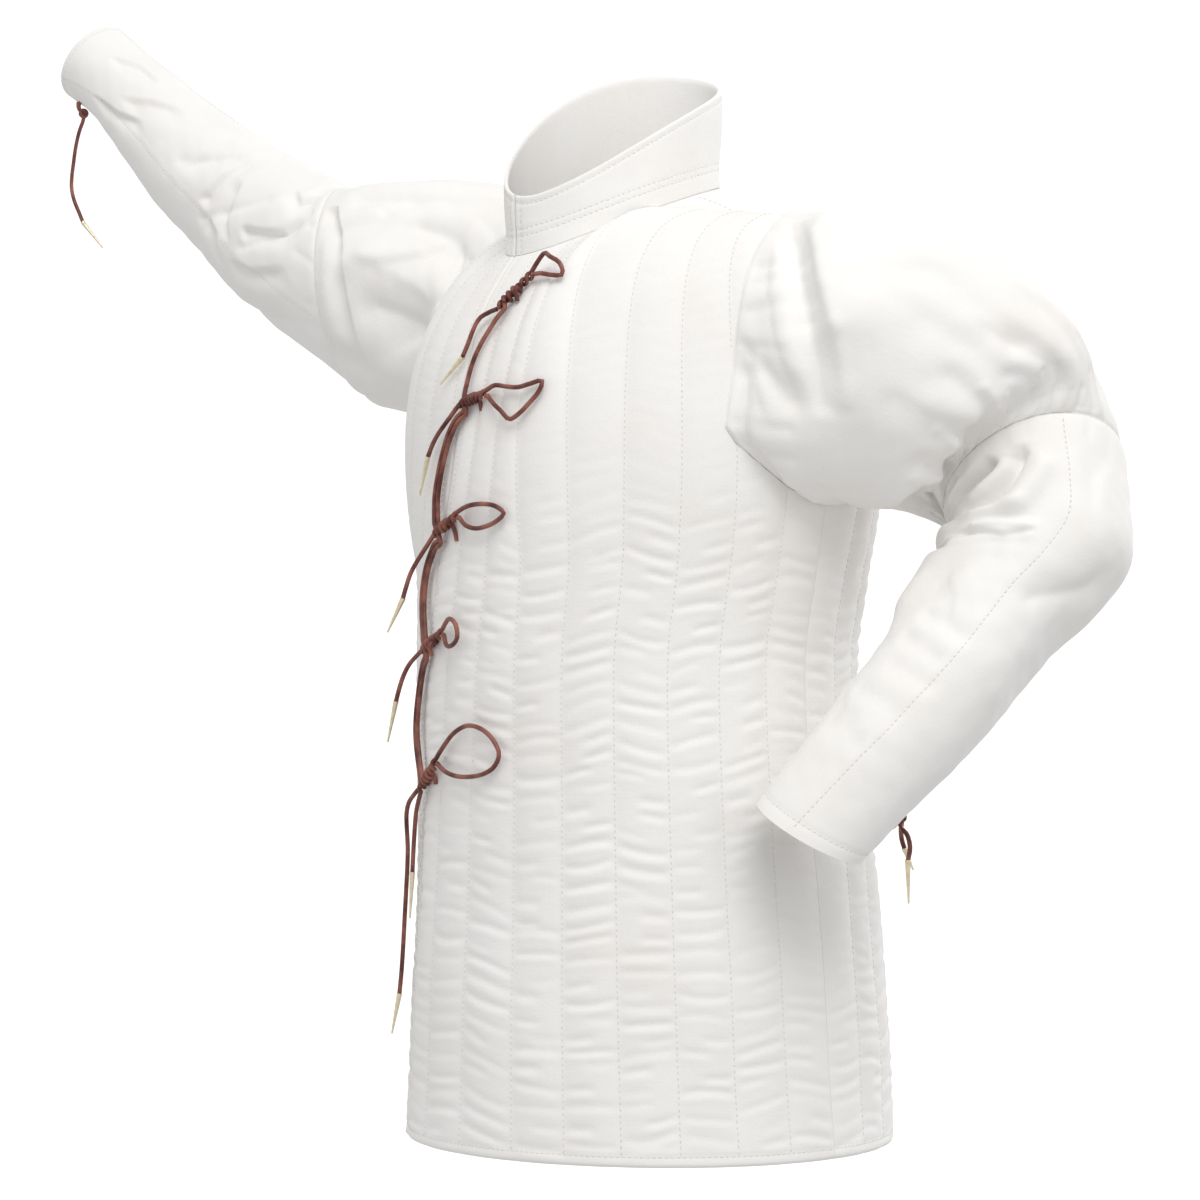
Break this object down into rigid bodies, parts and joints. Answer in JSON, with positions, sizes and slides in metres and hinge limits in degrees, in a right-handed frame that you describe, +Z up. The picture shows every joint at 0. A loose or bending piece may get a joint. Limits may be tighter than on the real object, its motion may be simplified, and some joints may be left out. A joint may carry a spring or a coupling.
{
  "type": "gambeson",
  "caption": "Quilted cotton arming coat with standing collar, puffed upper sleeves, fitted lower sleeves and a laced front, worn with one arm raised.",
  "frame": {"origin": "on the torso's plumb line at the height where the collar meets the shoulders, where the wearer's shoulders hold the coat", "axes": "+Z up, the wearer faces -Y, +X to the wearer's left"},
  "size_m": [1.1473, 0.5219, 1.0693],
  "materials": {
    "cotton": "heavy off-white cotton, quilted",
    "lace_leather": "dark reddish brown round lace",
    "aiglet_brass": "satin brass"
  },
  "bodies": {
    "root": {"back": "cotton", "collar": "cotton", "left_cuff_end_1": "lace_leather", "left_cuff_end_1_aiglet": "aiglet_brass", "left_cuff_end_2": "lace_leather", "left_cuff_end_2_aiglet": "aiglet_brass", "left_cuff_knot": "lace_leather", "left_front": "cotton", "left_lower_sleeve": "cotton", "left_upper_sleeve": "cotton", "right_cuff_end_1": "lace_leather", "right_cuff_end_1_aiglet": "aiglet_brass", "right_cuff_knot": "lace_leather", "right_front": "cotton", "right_lower_sleeve": "cotton", "right_upper_sleeve": "cotton", "tie_1_knot": "lace_leather", "tie_1_loop": "lace_leather", "tie_1_run_1": "lace_leather", "tie_1_short": "lace_leather", "tie_1_short_aiglet": "aiglet_brass", "tie_2_knot": "lace_leather", "tie_2_loop": "lace_leather", "tie_2_run_1": "lace_leather", "tie_2_run_2": "lace_leather", "tie_2_short": "lace_leather", "tie_2_short_aiglet": "aiglet_brass", "tie_3_knot": "lace_leather", "tie_3_loop": "lace_leather", "tie_3_run_1": "lace_leather", "tie_3_run_2": "lace_leather", "tie_3_short": "lace_leather", "tie_3_short_aiglet": "aiglet_brass", "tie_4_knot": "lace_leather", "tie_4_loop": "lace_leather", "tie_4_run_1": "lace_leather", "tie_4_run_2": "lace_leather", "tie_4_short": "lace_leather", "tie_4_short_aiglet": "aiglet_brass", "tie_5_knot": "lace_leather", "tie_5_long": "lace_leather", "tie_5_long_aiglet": "aiglet_brass", "tie_5_loop": "lace_leather", "tie_5_short": "lace_leather", "tie_5_short_aiglet": "aiglet_brass"}
  },
  "joints": []
}
